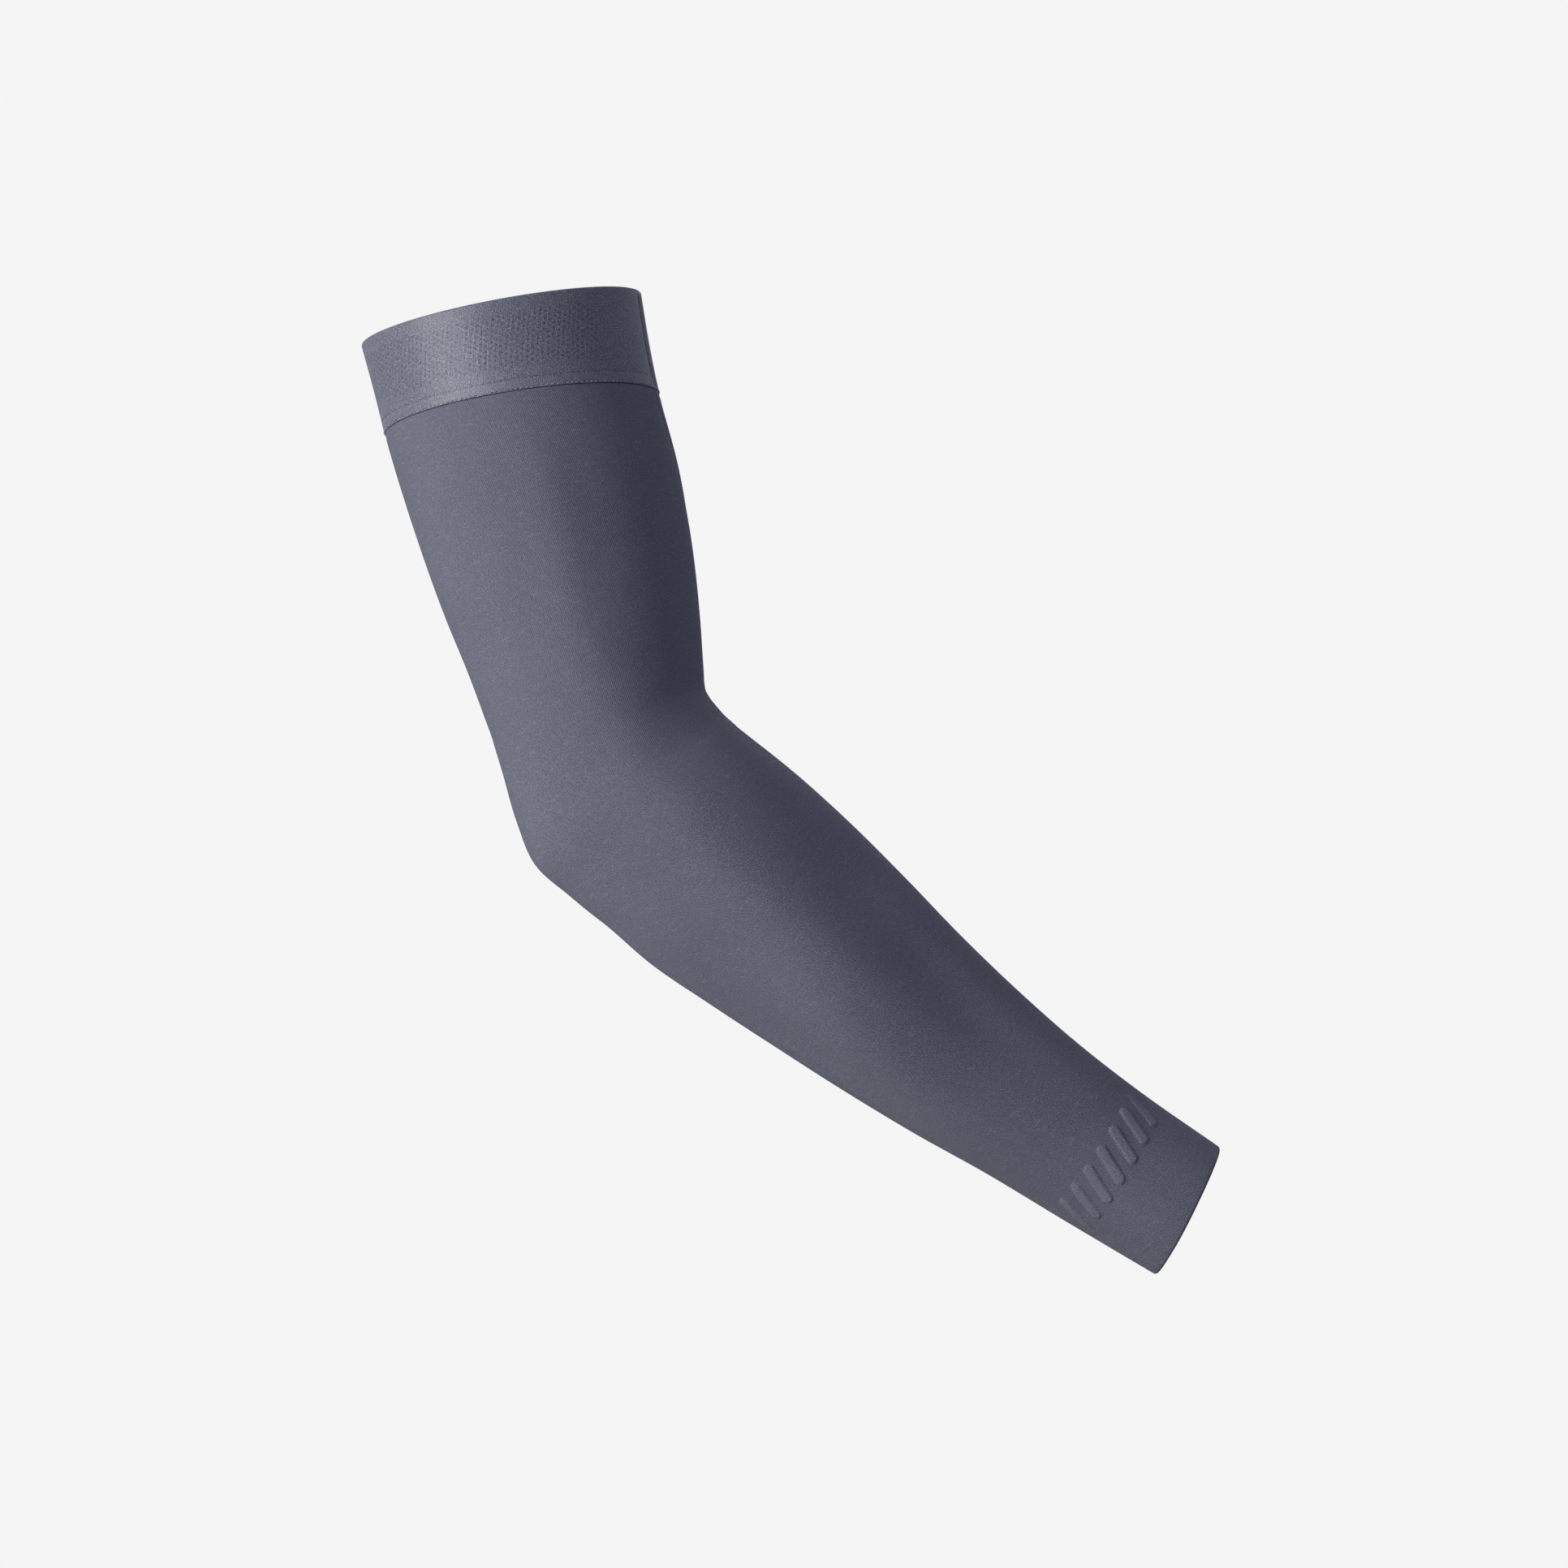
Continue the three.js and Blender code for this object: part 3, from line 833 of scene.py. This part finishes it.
for turn in np.linspace(0, fullTurn, studio["floorSides"], endpoint=False):
    across, deep = studio["floorRadius"] * math.cos(turn), studio["floorRadius"] * math.sin(turn)
    disc.append((studio["aim"][0] + across, deep, -studio["floorDrop"]))
floor = newPiece("floor", disc, [tuple(range(len(disc)))])
floorMaterial = bpy.data.materials.new("pale_floor")
floorMaterial.use_nodes = True
floorShader = floorMaterial.node_tree.nodes["Principled BSDF"]
floorShader.inputs["Base Color"].default_value = (*studio["floorTone"], 1)
floorShader.inputs["Roughness"].default_value = studio["floorRoughness"]
floor.data.materials.append(floorMaterial)
floor.visible_diffuse = False  # no light thrown back up at the cloth

for name, plan in studio["lights"].items():
    light = bpy.data.lights.new(name, "AREA")
    light.shape = "RECTANGLE"
    light.size, light.size_y = plan["size"]
    light.energy = plan["power"]
    light.color = plan["colour"]
    lamp = bpy.data.objects.new(name, light)
    lamp.location = plan["from"]
    lamp.visible_camera = False
    lamp.visible_glossy = name not in ("edge", "back")  # these two lay no gloss
    lamp.visible_diffuse = name != "strip"  # the strip only lays a gloss on the band
    gaze = np.array(studio["aim"]) - np.array(plan["from"])
    tilt = math.atan2(math.hypot(gaze[0], gaze[1]), -gaze[2])
    swing = math.atan2(gaze[1], gaze[0]) - math.pi / 2
    lamp.rotation_euler = (tilt, 0, swing)
    bpy.context.scene.collection.objects.link(lamp)

# the room's nodes are made as a material's are
room = bpy.data.worlds.new("room")
room.use_nodes = True
way = node(room, "ShaderNodeTexCoord")
split = node(room, "ShaderNodeSeparateXYZ")
join(room, way.outputs["Generated"], split.inputs[0])
level = calc(room, "MULTIPLY_ADD", split.outputs[2], 0.5, 0.5)  # nought straight down, one straight up
shade = blend(room, level, studio["groundLight"], studio["skyLight"])
path = node(room, "ShaderNodeLightPath")
tone = blend(room, path.outputs["Is Camera Ray"], shade, studio["roomTone"])
join(room, tone, room.node_tree.nodes["Background"].inputs["Color"])
bpy.context.scene.world = room
bpy.context.scene.view_settings.view_transform = "Standard"
print("studio set")
